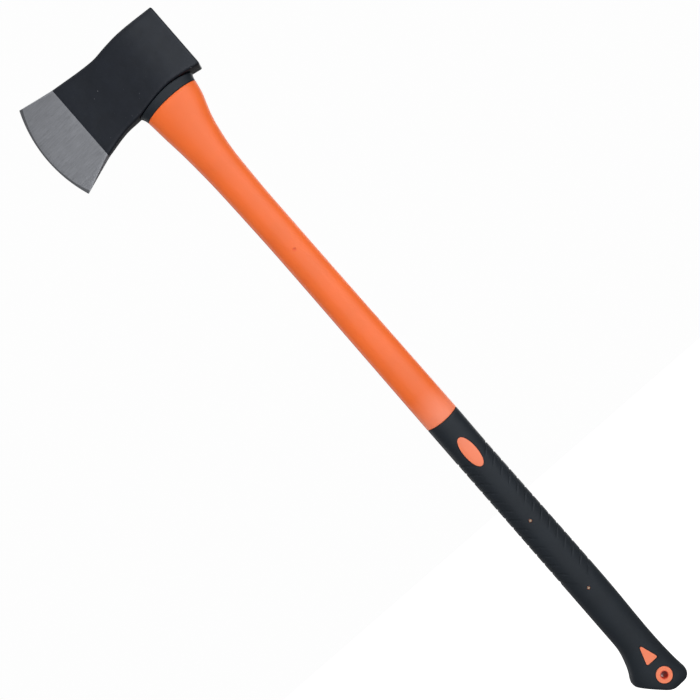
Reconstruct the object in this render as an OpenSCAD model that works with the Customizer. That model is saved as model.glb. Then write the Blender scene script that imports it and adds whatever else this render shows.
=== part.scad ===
// Fire axe of the 36 inch class: a forged single-bit head on a moulded composite handle.
// Frame: +Z runs up the handle to the head, the cutting edge faces -X and the poll +X,
// and Y = 0 is the plane of symmetry. The origin is where the centre line of the handle
// meets the mean level of the head's underside, where a wall bracket carries the axe.

/* [Head] */
// From the poll face to the middle of the cutting edge
head_len = 190; // [160:1:230]
// From the centre line of the handle to the poll face
poll_reach = 53.5; // [50:0.5:66]
// Height of the poll's top above the origin's level
poll_h = 76; // [62:0.5:92]
// Thickness of the poll
poll_t = 34; // [32:0.5:42]
// Thickness over the eye, where the head is thickest
cheek_t = 35.5; // [34:0.5:44]
// Thickness where the ground bevel starts
bevel_t = 14; // [10:0.5:18]
// Length of the ground bevel, in the middle of the edge
bevel_w = 53; // [35:1:65]
// How far the toe stands above the poll's top
toe_rise = 12; // [6:0.5:20]
// How far the heel hangs below the origin's level
heel_drop = 27.5; // [14:0.5:36]
// Radius of the cutting edge, seen from the side
edge_r = 156; // [110:1:220]
// Thickness of the flat left at the cutting edge
edge_land = 0.5; // [0.3:0.1:1]
// How far the underside arches up over the collar, above the origin's level
arch_rise = 2.1; // [1:0.1:5]
// Radius along the head's long edges
head_edge_r = 3; // [1:0.5:4]

/* [Eye] */
// Length of the eye, from bit to poll
eye_len = 60; // [48:1:66]
// Width of the eye
eye_w = 21; // [16:0.5:25]
// Middle of the eye, from the centre line of the handle towards the poll
eye_shift = 4.5; // [3:0.5:7]
// Thickness of the bonding resin around the tongue
bond_t = 1.5; // [1:0.1:2.5]
// How far the resin and the tongue stop short of the head's top
eye_recess = 1.5; // [0.5:0.5:4]

/* [Handle] */
// From the origin's level to the end of the butt
handle_drop = 833; // [600:1:1000]
// Width of the shaft, seen from the side
shaft_w = 38; // [34:0.5:44]
// Thickness of the shaft
shaft_t = 26; // [23:0.5:32]
// Shoulder under the collar: reach towards the bit
shoulder_bit = 29; // [26:0.1:33]
// Shoulder under the collar: reach towards the poll
shoulder_poll = 38.1; // [34:0.1:42]
// Thickness of the shoulder
shoulder_t = 31; // [28:0.5:33]
// Width of the fibreglass core
core_w = 24; // [18:0.5:26]
// Thickness of the fibreglass core
core_t = 12; // [9:0.5:13]

/* [Collar] */
// Height of the collar, in its middle
collar_h = 11.3; // [7:0.1:14]
// Flare of the collar's upper edge past the shoulder, towards the bit
collar_flare_bit = 5; // [1:0.5:6]
// Flare of the collar's upper edge past the shoulder, towards the poll
collar_flare = 3; // [1:0.5:4]
// Flare of the collar's upper edge past the shoulder's thickness, on each face
collar_swell = 0.8; // [0:0.1:1]

/* [Grip] */
// Length of the grip sleeve, along its middle
grip_len = 375; // [260:1:440]
// Reach of the grip towards the bit
grip_bit = 19.3; // [18:0.1:22]
// Reach of the grip towards the poll, where it swells
grip_poll = 21; // [19:0.1:23]
// Thickness of the grip
grip_t = 28; // [26:0.5:32]
// Wall of the grip sleeve
sleeve_wall = 3; // [2:0.1:4]
// How far the sleeve's upper edge bows towards the butt
sleeve_bow = 2.4; // [0.5:0.1:4]

/* [Butt] */
// Reach of the butt's beak towards the bit
beak_reach = 31.8; // [26:0.1:38]
// Reach of the butt towards the poll
butt_poll = 22.2; // [20:0.1:25]
// Height of the beak's tip above the end of the butt
beak_h = 28.3; // [26:0.1:36]
// Thickness of the butt
butt_t = 27; // [25:0.5:32]
// Bore of the hang hole
hang_d = 8; // [6:0.5:11]
// Diameter of the ring around the hang hole
ring_d = 18; // [16:0.5:22]
// Middle of the hang hole above the end of the butt
hang_h = 20; // [18:0.5:24]

/* [Windows] */
// Length of the oval window
oval_len = 39.5; // [30:0.5:50]
// Width of the oval window
oval_w = 16.5; // [12:0.5:20]
// Middle of the oval window below the grip's upper end
oval_drop = 42.5; // [34:0.5:60]
// Height of the triangular window
tri_h = 25.5; // [18:0.5:28]
// Width of the triangular window at its foot
tri_w = 17; // [13:0.5:20]
// Foot of the triangular window above the end of the butt
tri_foot = 38.5; // [36:0.5:42]
// Gap between a window and the raised island in it
window_gap = 0.7; // [0.4:0.1:1]
// Diameter of the mould pin marks
pin_d = 4; // [2:0.5:5]

/* [Fits] */
// Clearance left between pieces that are moulded or bonded together
fit = 0.1; // [0.05:0.05:0.3]

/* [Hidden] */
big = 1000;                 // larger than the axe, for cuts that run right past it
past = 5;                   // how far a cut runs past what it cuts
fine = 96;                  // segments of a full circle

// ---- where things are ----
edge_x = poll_reach - head_len;
bevel_x = edge_x + bevel_w;
toe_z = poll_h + toe_rise;
heel_z = -heel_drop;
edge_mid_z = (toe_z + heel_z) / 2 - 3;              // level of the edge's foremost point
crown_x = 8;                // where the top is highest
arch_x = 14;                // where the underside arches most and the head is thickest
waist_x = eye_shift - eye_len / 2 - 6.5;            // where the top is lowest, past the eye
beard_x = waist_x + 0.43 * (bevel_x - waist_x);     // where the underside sweeps down
crown_rise = 1.6;           // how far the crown stands above the poll's top
waist_dip = 1.4;            // how far the waist lies below the poll's top
beard_drop = 4.7;           // how far the beard lies below the origin's level
waist_lift = 1.5;           // how far the underside rises from the beard to the waist
poll_drop = 3.4;            // how far the poll's underside lies below the origin's level
bevel_rise = 4;             // the top at the bevel line, above the poll's top
bevel_drop = 11.6;          // the underside at the bevel line, below the origin's level
butt_z = -handle_drop;
grip_z = butt_z + grip_len;
hang_z = butt_z + hang_h;
core_end_z = butt_z + tri_foot + tri_h + 8;
collar_z = arch_rise - collar_h;
shaft_pin_z = -217;
grip_pin_z = [butt_z + 236, butt_z + 142];
tongue_z = poll_h + crown_rise - eye_recess;
tongue_len = eye_len - 2 * (bond_t + fit);
tongue_w = eye_w - 2 * (bond_t + fit);

// ---- smooth curves through a few stations, each [position, value] ----
function slope(p, i) =
    let (a = max(i - 1, 0), b = min(i + 1, len(p) - 1))
    (p[b][1] - p[a][1]) / (p[b][0] - p[a][0]);
function segment(p, x, i = 0) =
    i >= len(p) - 2 || x <= p[i + 1][0] ? i : segment(p, x, i + 1);
function curve(p, x) =
    let (i = segment(p, x), h = p[i + 1][0] - p[i][0],
         t = min(max((x - p[i][0]) / h, 0), 1))
    p[i][1] * (1 + 2 * t) * pow(1 - t, 2) + p[i + 1][1] * t * t * (3 - 2 * t)
    + slope(p, i) * h * t * pow(1 - t, 2) + slope(p, i + 1) * h * t * t * (t - 1);
function steps(a, b, n) = [for (i = [0:n]) a + (b - a) * i / n];

// A skin over closed rings of points, all with the same number of points.
module skin(rings) {
    n = len(rings[0]);
    last = len(rings) - 1;
    points = [for (ring = rings) each ring];
    sides = [for (i = [0:last - 1], k = [0:n - 1])
        [i * n + k, (i + 1) * n + k, (i + 1) * n + (k + 1) % n, i * n + (k + 1) % n]];
    ends = [[for (k = [0:n - 1]) k], [for (k = [n - 1:-1:0]) last * n + k]];
    polyhedron(points = points, faces = concat(sides, ends), convexity = 6);
}

// ---- head ----
head_top = [[bevel_x, poll_h + bevel_rise], [waist_x, poll_h - waist_dip],
            [(waist_x + crown_x) / 2, poll_h + 0.4], [crown_x, poll_h + crown_rise],
            [poll_reach, poll_h]];
head_under = [[bevel_x, -bevel_drop], [beard_x, -beard_drop],
              [waist_x, waist_lift - beard_drop], [arch_x, arch_rise],
              [poll_reach, -poll_drop]];
// Shares of the thickening from the bevel line to the cheek, reached at the two stations.
beard_full = 0.24;
waist_full = 0.5;
function cheek_half(full) = (bevel_t + full * (cheek_t - bevel_t)) / 2;
head_half = [[bevel_x, bevel_t / 2], [beard_x, cheek_half(beard_full)],
             [waist_x, cheek_half(waist_full)], [arch_x, cheek_t / 2],
             [poll_reach, poll_t / 2]];
rows = 12;                  // points up each face of the head
cheek_rings = 16;
bevel_rings = 5;

function edge_at(z) = edge_x + edge_r - sqrt(pow(edge_r, 2) - pow(z - edge_mid_z, 2));
// One ring of the head as [x, y, z] points: up the front face and down the back face,
// with a small bevel at the four corners.
function head_ring(x, low, high, half, bevel) =
    let (face = [[low, half - bevel], each [for (i = [0:rows])
                 [low + bevel + (high - low - 2 * bevel) * i / rows, half]],
                 [high, half - bevel]])
    concat([for (p = face) [x, -p[1], p[0]]],
           [for (i = [len(face) - 1:-1:0]) [x, face[i][1], face[i][0]]]);
ring_x = steps(poll_reach + past, bevel_x, cheek_rings);
cheek = [for (x = ring_x)
    head_ring(x, curve(head_under, x), curve(head_top, x), curve(head_half, x),
              head_edge_r)];
bevel_start = head_ring(bevel_x, -bevel_drop, poll_h + bevel_rise, bevel_t / 2,
                        head_edge_r);
edge_flat = head_ring(0, heel_z, toe_z, edge_land / 2, edge_land / 4);
cutting_edge = [for (p = edge_flat) [edge_at(p[2]), p[1], p[2]]];
bevel = [for (t = steps(0, 1, bevel_rings)) if (t > 0)
    bevel_start * (1 - t) + cutting_edge * t];

// Oval with its long axis along X. 2 is an ellipse, a larger fullness is boxier.
function signed_power(v, e) = sign(v) * pow(abs(v), e);
function oval_points(length, width, fullness, count) = [for (k = [0:count - 1])
    let (a = 360 * k / count)
    [length / 2 * signed_power(cos(a), 2 / fullness),
     width / 2 * signed_power(sin(a), 2 / fullness)]];
module oval(length, width) {
    polygon(oval_points(length, width, 2.1, 64));
}

module eye_prism(length, width, low, high) {
    translate([eye_shift, 0, low]) linear_extrude(high - low)
        oval(length, width);
}

module axe_head() {
    color("#2b2e33") difference() {
        intersection() {
            skin(concat(cheek, bevel));
            translate([poll_reach - big, -big / 2, -big / 2]) cube(big);
        }
        eye_prism(eye_len, eye_w, -big / 4, big / 4);
    }
}

// ---- handle ----
// Share of the shoulder's reach left at each depth below the collar.
flare_bit = [[0, 1], [24, 0.77], [48, 0.51], [72, 0.33], [96, 0.2], [138, 0.09], [200, 0]];
flare_poll = [[0, 1], [12, 0.87], [24, 0.66], [36, 0.46], [48, 0.32], [72, 0.13],
              [96, 0.05], [150, 0]];
shoulder_z = collar_z - 4.8;
function shoulder(flare, thin, wide) = [for (i = [len(flare) - 1:-1:0])
    [shoulder_z - flare[i][0], thin + (wide - thin) * flare[i][1]]];
function collar_rise(wide, flare) = [[shoulder_z + 6, wide + flare * 0.3],
                                     [shoulder_z + 12, wide + flare],
                                     [shoulder_z + 20, wide + flare * 1.6]];
// How far the handle reaches from its axis towards the bit, at each height: straight at the
// beak, hollow above it, even along the grip, and swelling under the head.
bit_line = concat(
    [[butt_z, beak_reach], [butt_z + beak_h + 5, beak_reach],
     [butt_z + beak_h + 14.5, beak_reach - 4.6], [butt_z + beak_h + 23.5, grip_bit + 4.4],
     [butt_z + beak_h + 39, grip_bit + 0.5], [butt_z + beak_h + 55, grip_bit],
     [grip_z, grip_bit]],
    shoulder(flare_bit, shaft_w / 2, shoulder_bit), collar_rise(shoulder_bit, collar_flare_bit));
// The same towards the poll: the butt's corner, a hollow, and a long swell along the grip.
poll_line = concat(
    [[butt_z, butt_poll], [butt_z + 10, butt_poll], [butt_z + 24, butt_poll - 1.4],
     [butt_z + 50, grip_poll - 1.4], [butt_z + 78, grip_poll - 1.3],
     [butt_z + 125, grip_poll - 0.1], [butt_z + 190, grip_poll],
     [grip_z - 43, grip_poll - 0.9], [grip_z, grip_poll - 0.6]],
    shoulder(flare_poll, shaft_w / 2, shoulder_poll), collar_rise(shoulder_poll, collar_flare));
// Half the thickness at each height.
half_line = concat(
    [[butt_z, butt_t / 2 - 2], [butt_z + 8, butt_t / 2], [butt_z + 60, butt_t / 2],
     [butt_z + 120, grip_t / 2], [grip_z - 40, grip_t / 2], [grip_z, shaft_t / 2 + 0.4]],
    shoulder(flare_bit, shaft_t / 2, shoulder_t / 2),
    collar_rise(shoulder_t / 2, collar_swell));

around = 32;                // points around the handle
squareness = 2.4;           // 2 is an ellipse, more is boxier
function handle_ring(z, inset) =
    let (bit = curve(bit_line, z) - inset, poll = curve(poll_line, z) - inset,
         half = curve(half_line, z) - inset)
    [for (p = oval_points(poll + bit, 2 * half, squareness, around))
        [p[0] + (poll - bit) / 2, p[1], z]];
module handle_skin(levels, inset = 0) {
    skin([for (z = levels) handle_ring(z, inset)]);
}
butt_levels = steps(butt_z - past, butt_z + beak_h + 54, 17);
grip_levels = steps(butt_z + beak_h + 70, grip_z - 20, 8);
shaft_levels = steps(grip_z - 10, shoulder_z - 200, 6);
flare_levels = steps(shoulder_z - 180, shoulder_z + 14, 15);

// Extrudes a side outline (x, z) along Y, right through the axe.
module across(depth = big) {
    rotate([90, 0, 0]) linear_extrude(depth, center = true) children();
}
// Region of the side view above an arch whose top is at (x, z), within reach of it.
module above_arch(x, z, r) {
    difference() {
        translate([x - 60, z - 30]) square([120, 50]);
        translate([x, z - r]) circle(r = r, $fn = 4 * fine);
    }
}
// Region of the side view above a dip whose bottom is at (x, z).
module above_dip(x, z, r) {
    translate([x, z + r]) circle(r = r, $fn = 4 * fine);
    translate([x - 60, z + r]) square([120, r]);
}
shoulder_arch_r = 240;
shoulder_arch_x = 12;
// Radius whose sagitta over the grip's width is the bow of the sleeve's upper edge.
bow_r = pow(grip_bit, 2) / (2 * sleeve_bow) + sleeve_bow / 2;

// Region above the underside of the head, with its corners at the head's own rings.
module above_underside(drop) {
    polygon(concat([for (x = ring_x) [x, curve(head_under, x) - drop]],
                   [[bevel_x, poll_h], [poll_reach + past, poll_h]]));
}

// Corners of a polygon rounded to the given radii, as arcs.
function rounded(points, radii) = [for (i = [0:len(points) - 1])
    let (n = len(points), p = points[i], r = radii[i],
         a = points[(i + n - 1) % n] - p, b = points[(i + 1) % n] - p,
         ua = a / norm(a), ub = b / norm(b), half = acos(ua * ub) / 2,
         mid = (ua + ub) / norm(ua + ub), centre = p + mid * r / sin(half),
         start = atan2(-mid[1], -mid[0]), turn = 90 - half,
         way = cross(ua, ub) > 0 ? -1 : 1)
    each [for (t = steps(-turn, turn, 8)) centre + r * [cos(start + way * t),
                                                       sin(start + way * t)]]];

// The butt seen from the side: beak, slanted heel, flat end, all moved in by `inset`.
foot_x = -3.5;
function butt_corners(inset) =
    let (fall = atan2(beak_h, beak_reach + foot_x))
    [[-beak_reach + inset, grip_z + 2 * past],
     [-beak_reach + inset, butt_z + beak_h + inset * (1 - sin(fall)) / cos(fall)],
     [foot_x + inset * (1 - cos(fall)) / sin(fall), butt_z + inset],
     [butt_poll - inset, butt_z + inset], [butt_poll - inset, grip_z + 2 * past]];
butt_r = [4, 8, 8, 9.5, 4];  // radii at its corners, taken off by the inset as well
function butt_outline(inset) = rounded(butt_corners(inset), [for (r = butt_r) r - inset]);

function triangle(inset) =
    let (apex = atan2(tri_w / 2, tri_h), foot = (90 - apex) / 2)
    rounded([[-tri_w / 2 + inset / tan(foot), butt_z + tri_foot + inset],
             [tri_w / 2 - inset / tan(foot), butt_z + tri_foot + inset],
             [0, butt_z + tri_foot + tri_h - inset / sin(apex)]], [1.5, 1.5, 1.5]);

// The windows in the sleeve, or with a gap the islands that stand in them.
module oval_shape(gap) {
    translate([0, grip_z - oval_drop]) rotate(90)
        oval(oval_len - 2 * gap, oval_w - 2 * gap);
}
module ring_shape(gap) {
    translate([0, hang_z]) circle(d = ring_d + 2 * (window_gap - gap), $fn = fine);
}
module pin_shapes(gap) {
    for (z = grip_pin_z)
        translate([0, z]) circle(d = pin_d - gap, $fn = fine);
}

module handle_core() {
    color("#d8cfae") translate([0, 0, core_end_z])
        linear_extrude(tongue_z - core_end_z) oval(core_w, core_t);
}

module eye_bond() {
    color("#5b4a33") difference() {
        eye_prism(eye_len - 2 * fit, eye_w - 2 * fit, collar_z, tongue_z);
        eye_prism(tongue_len + 2 * fit, tongue_w + 2 * fit, collar_z - past, poll_h + big);
        across() difference() {
            translate([-big / 2, collar_z - past]) square([big, poll_h]);
            above_underside(-fit);
        }
    }
}

module handle_jacket() {
    island_half = grip_t / 2 - 0.8;
    color("#f2743e") difference() {
        union() {
            difference() {
                handle_skin(concat(shaft_levels, flare_levels));
                across() above_arch(shoulder_arch_x, collar_z, shoulder_arch_r);
                across() difference() {
                    translate([-60, grip_z - 60]) square([120, 60 + past]);
                    above_dip(0, grip_z, bow_r);
                }
            }
            intersection() {
                handle_skin(concat(butt_levels, grip_levels, [grip_z + 3]), sleeve_wall);
                across() polygon(butt_outline(sleeve_wall));
            }
            eye_prism(tongue_len, tongue_w, shoulder_z - past, tongue_z);
            across(2 * island_half) oval_shape(window_gap);
            across(butt_t - 1) polygon(triangle(window_gap));
            across(butt_t) ring_shape(window_gap);
            across(grip_t - 2) pin_shapes(2 * fit);
        }
        translate([0, 0, core_end_z - fit]) linear_extrude(big)
            oval(core_w + 2 * fit, core_t + 2 * fit);
        translate([0, 0, hang_z]) rotate([90, 0, 0])
            cylinder(d = hang_d, h = 2 * butt_t, center = true, $fn = fine);
        for (side = [-1, 1])
            translate([0, side * shaft_t / 2, shaft_pin_z]) rotate([90, 0, 0])
                cylinder(d = pin_d, h = 4, center = true, $fn = fine);
    }
}

module shoulder_collar() {
    color("#26292c") difference() {
        handle_skin(steps(shoulder_z - 2, shoulder_z + 18, 10));
        eye_prism(tongue_len + 2 * fit, tongue_w + 2 * fit, shoulder_z - past, poll_h);
        across() translate([shoulder_arch_x, collar_z + fit - shoulder_arch_r])
            circle(r = shoulder_arch_r, $fn = 4 * fine);
        across() above_underside(fit);
    }
}

module grip_sleeve() {
    color("#26292c") difference() {
        intersection() {
            handle_skin(concat(butt_levels, grip_levels, [grip_z - 8, grip_z + 3]));
            across() difference() {
                polygon(butt_outline(0));
                above_dip(0, grip_z - fit, bow_r);
            }
        }
        intersection() {
            handle_skin(concat(butt_levels, grip_levels, [grip_z + 3]),
                        sleeve_wall - fit);
            across() polygon(butt_outline(sleeve_wall - fit));
        }
        across() oval_shape(0);
        across() polygon(triangle(0));
        across() ring_shape(0);
        across() pin_shapes(0);
    }
}

axe_head();
eye_bond();
handle_core();
handle_jacket();
shoulder_collar();
grip_sleeve();
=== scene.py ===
"""Models the visible pieces of a fire axe around its CAD frame, as an add-on run as a script."""

import math

import bmesh
import bpy
from mathutils import Matrix, Vector


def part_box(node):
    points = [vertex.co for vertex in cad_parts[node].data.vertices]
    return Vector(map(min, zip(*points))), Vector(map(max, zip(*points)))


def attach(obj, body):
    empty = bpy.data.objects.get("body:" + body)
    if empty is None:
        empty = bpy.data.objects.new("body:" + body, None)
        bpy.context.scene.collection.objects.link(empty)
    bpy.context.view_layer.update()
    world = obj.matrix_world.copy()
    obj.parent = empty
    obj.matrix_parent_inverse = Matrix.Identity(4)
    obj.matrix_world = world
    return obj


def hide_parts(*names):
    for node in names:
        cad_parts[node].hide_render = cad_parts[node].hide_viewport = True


bl_info = {
    "name": "Fire Axe",
    "version": (1, 0, 0),
    "blender": (4, 5, 0),
    "location": "3D View > Sidebar > Fire Axe",
    "description": "Head, collar, jacket, grip and resin of a fire axe, with their finishes",
    "category": "Add Mesh",
}

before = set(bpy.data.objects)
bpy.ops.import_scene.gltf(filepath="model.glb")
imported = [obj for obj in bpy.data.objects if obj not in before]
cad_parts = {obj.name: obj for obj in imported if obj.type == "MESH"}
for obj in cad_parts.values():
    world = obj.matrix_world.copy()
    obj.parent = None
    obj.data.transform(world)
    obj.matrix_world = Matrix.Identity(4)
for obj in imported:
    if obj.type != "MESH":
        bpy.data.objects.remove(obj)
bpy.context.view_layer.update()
MM = 0.001

HEAD_LOW, HEAD_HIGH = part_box("axe_head")
BOND_LOW, BOND_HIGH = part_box("eye_bond")
SLEEVE_LOW, SLEEVE_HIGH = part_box("grip_sleeve")

POLL_X = HEAD_HIGH.x
EDGE_X = HEAD_LOW.x
TOE_Z = HEAD_HIGH.z
HEEL_Z = HEAD_LOW.z
BUTT_Z = SLEEVE_LOW.z
GRIP_Z = SLEEVE_HIGH.z
# The cutting edge's arc is centred a little below the middle of the bit.
EDGE_MIDDLE = (TOE_Z + HEEL_Z) / 2 - 3 * MM
EYE_X = (BOND_LOW.x + BOND_HIGH.x) / 2
EYE_TOP = BOND_HIGH.z


class AxeHeadSizes(bpy.types.PropertyGroup):
    """Sizes of the forged head that the CAD box alone does not give"""

    poll_half: bpy.props.FloatProperty(
        name="Poll half thickness", description="Half the thickness of the poll",
        default=17 * MM, min=0.012, max=0.025, unit="LENGTH")
    cheek_half: bpy.props.FloatProperty(
        name="Cheek half thickness", description="Half the thickness over the eye",
        default=17.75 * MM, min=0.012, max=0.025, unit="LENGTH")
    bevel_half: bpy.props.FloatProperty(
        name="Bevel half thickness", description="Half the thickness where the grinding starts",
        default=7 * MM, min=0.004, max=0.01, unit="LENGTH")
    bevel_length: bpy.props.FloatProperty(
        name="Ground length", description="From the paint's edge to the cutting edge",
        default=53 * MM, min=0.03, max=0.07, unit="LENGTH")
    honed_length: bpy.props.FloatProperty(
        name="Honed edge", description="Width of the honed edge, in its middle",
        default=1.6 * MM, min=0.0005, max=0.005, unit="LENGTH")
    edge_radius: bpy.props.FloatProperty(
        name="Edge radius", description="Radius of the cutting edge, seen from the side",
        default=156 * MM, min=0.1, max=0.3, unit="LENGTH")
    corner: bpy.props.FloatProperty(
        name="Corner radius", description="Rounding of the forging's long edges",
        default=3 * MM, min=0.0005, max=0.004, unit="LENGTH")
    eye_length: bpy.props.FloatProperty(
        name="Eye length", description="Length of the eye, from bit to poll",
        default=60 * MM, min=0.04, max=0.07, unit="LENGTH")
    eye_width: bpy.props.FloatProperty(
        name="Eye width", description="Width of the eye",
        default=21 * MM, min=0.015, max=0.026, unit="LENGTH")


class AxeHandleSizes(bpy.types.PropertyGroup):
    """Sizes of the grip's wall, pattern, windows and holes"""

    sleeve_wall: bpy.props.FloatProperty(
        name="Sleeve wall", description="Thickness of the rubber grip over the jacket",
        default=3 * MM, min=0.0015, max=0.004, unit="LENGTH")
    groove_pitch: bpy.props.FloatProperty(
        name="Groove pitch", description="Distance between the grip's main grooves",
        default=12.65 * MM, min=0.008, max=0.02, unit="LENGTH")
    groove_depth: bpy.props.FloatProperty(
        name="Groove depth", description="Depth of the grip's main grooves",
        default=0.9 * MM, min=0.0002, max=0.0015, unit="LENGTH")
    rib_depth: bpy.props.FloatProperty(
        name="Rib depth", description="Depth between the fine ribs of the grip",
        default=0.25 * MM, min=0.0, max=0.0008, unit="LENGTH")
    window_gap: bpy.props.FloatProperty(
        name="Window gap", description="Gap between a window in the grip and its island",
        default=0.7 * MM, min=0.0002, max=0.0015, unit="LENGTH")
    pin_width: bpy.props.FloatProperty(
        name="Pin hole", description="Width of the moulding pins' holes",
        default=4 * MM, min=0.001, max=0.005, unit="LENGTH")
    hang_width: bpy.props.FloatProperty(
        name="Hanging hole", description="Width of the hole at the end of the handle",
        default=8 * MM, min=0.005, max=0.012, unit="LENGTH")


class AxeColours(bpy.types.PropertyGroup):
    """Colours of what the pieces are made of"""

    paint: bpy.props.StringProperty(
        name="Head enamel", description="Colour of the head's enamel, sRGB hex",
        default="#0e121a")
    steel: bpy.props.StringProperty(
        name="Ground steel", description="Colour of the ground bit, sRGB hex",
        default="#898b90")
    jacket: bpy.props.StringProperty(
        name="Jacket", description="Colour of the handle's moulding, sRGB hex",
        default="#e6641b")
    rubber: bpy.props.StringProperty(
        name="Rubber", description="Colour of the grip and collar, sRGB hex",
        default="#10161c")
    resin: bpy.props.StringProperty(
        name="Resin", description="Colour of the resin in the eye, sRGB hex",
        default="#4a3a26")
    fibre: bpy.props.StringProperty(
        name="Glass fibre", description="Colour of the core's sawn end, sRGB hex",
        default="#b09a82")


# ---- curves through a few stations, each (position, value) ----
def curve(stations, at):
    """Value at a position, on the smooth curve through the stations."""
    last = len(stations) - 1
    i = 0
    while i < last - 1 and at > stations[i + 1][0]:
        i += 1
    start, end = stations[i], stations[i + 1]
    span = end[0] - start[0]
    t = min(max((at - start[0]) / span, 0), 1)

    def slope(k):
        a, b = stations[max(k - 1, 0)], stations[min(k + 1, last)]
        return (b[1] - a[1]) / (b[0] - a[0])

    return (start[1] * (1 + 2 * t) * (1 - t) ** 2 + end[1] * t * t * (3 - 2 * t)
            + slope(i) * span * t * (1 - t) ** 2 + slope(i + 1) * span * t * t * (t - 1))


def metres(stations):
    """Stations given in millimetres, in metres."""
    return [(position * MM, value * MM) for position, value in stations]


def ease(t):
    """0 to 1 with a soft start and end."""
    t = min(max(t, 0), 1)
    return t * t * (3 - 2 * t)


def steps(start, end, count):
    """Evenly spaced numbers from start to end, one more than the count."""
    return [start + (end - start) * i / count for i in range(count + 1)]


def blend(a, b, t):
    return a + (b - a) * t


# ---- modelling helpers ----
# Half width of a tool that cuts right through the handle, well past both of its faces.
THROUGH = 40 * MM


def deselect_all():
    if bpy.context.mode != "OBJECT":
        bpy.ops.object.mode_set(mode="OBJECT")
    bpy.ops.object.select_all(action="DESELECT")


def select_only(obj):
    deselect_all()
    obj.select_set(True)
    bpy.context.view_layer.objects.active = obj


def edit(obj, mode="VERT"):
    """Opens a mesh in edit mode with nothing selected, and returns it."""
    select_only(obj)
    bpy.ops.object.mode_set(mode="EDIT")
    bpy.ops.mesh.select_mode(type=mode)
    bpy.ops.mesh.select_all(action="DESELECT")
    return bmesh.from_edit_mesh(obj.data)


def pick(obj, mesh, elements):
    """Selects these vertices, edges or faces of the mesh that is being edited."""
    for element in elements:
        element.select_set(True)
    mesh.select_flush_mode()
    bmesh.update_edit_mesh(obj.data)


def close(obj):
    """Merges doubles, turns the faces outwards and leaves edit mode."""
    edit(obj)
    bpy.ops.mesh.select_all(action="SELECT")
    bpy.ops.mesh.remove_doubles(threshold=2e-6)
    bpy.ops.mesh.normals_make_consistent(inside=False)
    bpy.ops.object.mode_set(mode="OBJECT")


def start_plane(name):
    """A square plane, 2 across, at the origin."""
    deselect_all()
    bpy.ops.mesh.primitive_plane_add(size=2)
    plane = bpy.context.object
    plane.name = name
    return plane


def oval_face(name, around, fullness):
    """A flat oval of half width 1: fullness 2 is an ellipse, more is boxier."""
    face = start_plane(name)
    edit(face)
    bpy.ops.mesh.select_all(action="SELECT")
    bpy.ops.mesh.bevel(offset=1, offset_type="OFFSET", affect="VERTICES",
                       segments=around // 4, profile=0.5 ** (2 / fullness))
    bpy.ops.mesh.select_all(action="SELECT")
    bpy.ops.mesh.remove_doubles(threshold=1e-4)
    bpy.ops.object.mode_set(mode="OBJECT")
    return face


def loft(face, rings):
    """Extrudes a flat face once for each ring, then lets each ring place its own points.

    A ring is a rule that turns a point (u, v) of the flat face into (x, y, z)."""
    mesh = edit(face, "FACE")
    pick(face, mesh, mesh.faces)
    for _ in rings[1:]:
        bpy.ops.mesh.extrude_region_move(TRANSFORM_OT_translate={"value": (0, 0, 1)})
    bpy.ops.object.mode_set(mode="OBJECT")
    for vertex in face.data.vertices:
        vertex.co = rings[round(vertex.co.z)](vertex.co.x, vertex.co.y)
    face.data.update()
    close(face)
    return face


def cut(obj, cutter, operation="DIFFERENCE"):
    """Cuts, joins or trims a mesh with another, which is used up."""
    modifier = obj.modifiers.new("cut", "BOOLEAN")
    modifier.operation = operation
    modifier.solver = "EXACT"
    modifier.object = cutter
    select_only(obj)
    bpy.ops.object.modifier_apply(modifier=modifier.name)
    bpy.data.objects.remove(cutter)


def join(parts):
    """Joins objects into the first one."""
    select_only(parts[0])
    for part in parts[1:]:
        part.select_set(True)
    bpy.ops.object.join()
    return parts[0]


def bevel_where(obj, chosen, width, segments=3):
    """Rounds the edges that the rule chooses."""
    mesh = edit(obj, "EDGE")
    pick(obj, mesh, [edge for edge in mesh.edges if chosen(edge)])
    bpy.ops.mesh.bevel(offset=width, segments=segments, profile=0.5, clamp_overlap=True)
    bpy.ops.object.mode_set(mode="OBJECT")


def turn_of(edge):
    """Angle between an edge's two faces, in degrees."""
    return math.degrees(edge.calc_face_angle(0)) if len(edge.link_faces) == 2 else 0


def prism_across(name, outline, half):
    """Closed prism of a side outline of (x, z) points, right across the axe, half each way."""
    deselect_all()
    bpy.ops.mesh.primitive_circle_add(vertices=len(outline), radius=1, fill_type="NGON")
    prism = bpy.context.object
    prism.name = name
    for vertex, (x, z) in zip(prism.data.vertices, outline):
        vertex.co = (x, -half, z)
    edit(prism, "FACE")
    bpy.ops.mesh.select_all(action="SELECT")
    bpy.ops.mesh.extrude_region_move(TRANSFORM_OT_translate={"value": (0, 2 * half, 0)})
    bpy.ops.object.mode_set(mode="OBJECT")
    close(prism)
    return prism


def finish_piece(obj, name, node, materials):
    """Names a piece, gives it its finish and its place on the frame."""
    obj.name = name
    obj.data.name = name
    for material in materials:
        obj.data.materials.append(material)
    select_only(obj)
    bpy.ops.object.shade_smooth_by_angle(angle=math.radians(35))
    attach(obj, "root")
    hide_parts(node)


# ---- lines of the handle, in millimetres: how far it reaches at each height ----
COLLAR = -9.2
SHOULDER = -14
BUTT = BUTT_Z / MM
GRIP = -458
BEAK = 31.8
BEAK_RISE = 28.3
FOOT = -3.5
TAIL = 22.2
FLARE_BIT = ((0, 1), (24, 0.77), (48, 0.51), (72, 0.33), (96, 0.2), (138, 0.09), (200, 0))
FLARE_POLL = ((0, 1), (12, 0.87), (24, 0.66), (36, 0.46), (48, 0.32), (72, 0.13), (96, 0.05),
              (150, 0))


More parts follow.
